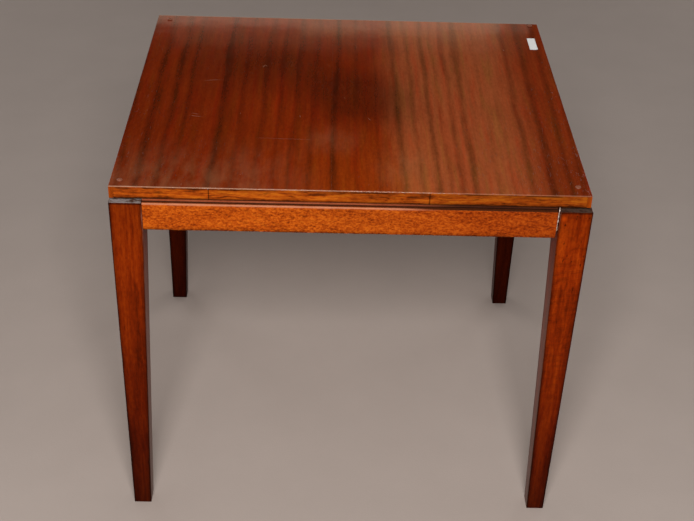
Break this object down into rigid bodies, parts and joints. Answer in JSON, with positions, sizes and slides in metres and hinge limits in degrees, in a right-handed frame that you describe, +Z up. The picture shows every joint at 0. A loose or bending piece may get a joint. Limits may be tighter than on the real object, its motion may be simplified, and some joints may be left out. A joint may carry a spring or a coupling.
{
  "type": "occasional table",
  "caption": "Occasional table with a flat veneered top floating on a thin shadow gap, dowelled rails and square legs tapered on their inner faces.",
  "frame": {"origin": "on the floor, under the middle of the table's plan", "axes": "+X along the longer side of the top, to the right as seen from the front; +Y to the back; +Z up"},
  "size_m": [0.6914, 0.618, 0.6125],
  "materials": {
    "top_veneer": "gloss lacquered ribbon-stripe mahogany veneer, fine scratches, worn front arris",
    "lipping": "lacquered solid mahogany, orange-brown with dark streaks",
    "rail": "lacquered solid mahogany, bright orange-brown, short dark pore flecks",
    "leg": "lacquered solid mahogany, dark red-brown, bare grey end grain on top",
    "spacer": "stained solid wood, satin, dusty",
    "core": "bare pale board",
    "backing": "unpolished backing veneer",
    "block": "bare sawn hardwood",
    "dowel": "bare turned beech, fluted",
    "screw": "plain slotted wood screw, dulled",
    "bumper": "clear soft plastic, slightly cloudy",
    "label": "blank white coated paper"
  },
  "bodies": {
    "root": {"backing_veneer": "backing", "blank_label": "label", "block_screw_front_left_end": "screw", "block_screw_front_left_side": "screw", "block_screw_front_right_end": "screw", "block_screw_front_right_side": "screw", "block_screw_rear_left_end": "screw", "block_screw_rear_left_side": "screw", "block_screw_rear_right_end": "screw", "block_screw_rear_right_side": "screw", "bumper_front_left": "bumper", "bumper_front_right": "bumper", "bumper_rear_left": "bumper", "bumper_rear_right": "bumper", "corner_block_front_left": "block", "corner_block_front_right": "block", "corner_block_rear_left": "block", "corner_block_rear_right": "block", "dowel_front_at_front_left_lower": "dowel", "dowel_front_at_front_left_upper": "dowel", "dowel_front_at_front_right_lower": "dowel", "dowel_front_at_front_right_upper": "dowel", "dowel_left_at_front_left_lower": "dowel", "dowel_left_at_front_left_upper": "dowel", "dowel_left_at_rear_left_lower": "dowel", "dowel_left_at_rear_left_upper": "dowel", "dowel_rear_at_rear_left_lower": "dowel", "dowel_rear_at_rear_left_upper": "dowel", "dowel_rear_at_rear_right_lower": "dowel", "dowel_rear_at_rear_right_upper": "dowel", "dowel_right_at_front_right_lower": "dowel", "dowel_right_at_front_right_upper": "dowel", "dowel_right_at_rear_right_lower": "dowel", "dowel_right_at_rear_right_upper": "dowel", "front_lipping_left": "lipping", "front_lipping_middle": "lipping", "front_lipping_right": "lipping", "left_lipping": "lipping", "leg_front_left": "leg", "leg_front_right": "leg", "leg_rear_left": "leg", "leg_rear_right": "leg", "rail_front": "rail", "rail_left": "rail", "rail_rear": "rail", "rail_right": "rail", "rear_lipping": "lipping", "right_lipping": "lipping", "spacer_front": "spacer", "spacer_left": "spacer", "spacer_rear": "spacer", "spacer_right": "spacer", "top_core": "core", "top_screw_front_left": "screw", "top_screw_front_right": "screw", "top_screw_rear_left": "screw", "top_screw_rear_right": "screw", "top_veneer_left": "top_veneer", "top_veneer_middle": "top_veneer", "top_veneer_right": "top_veneer"}
  },
  "joints": []
}
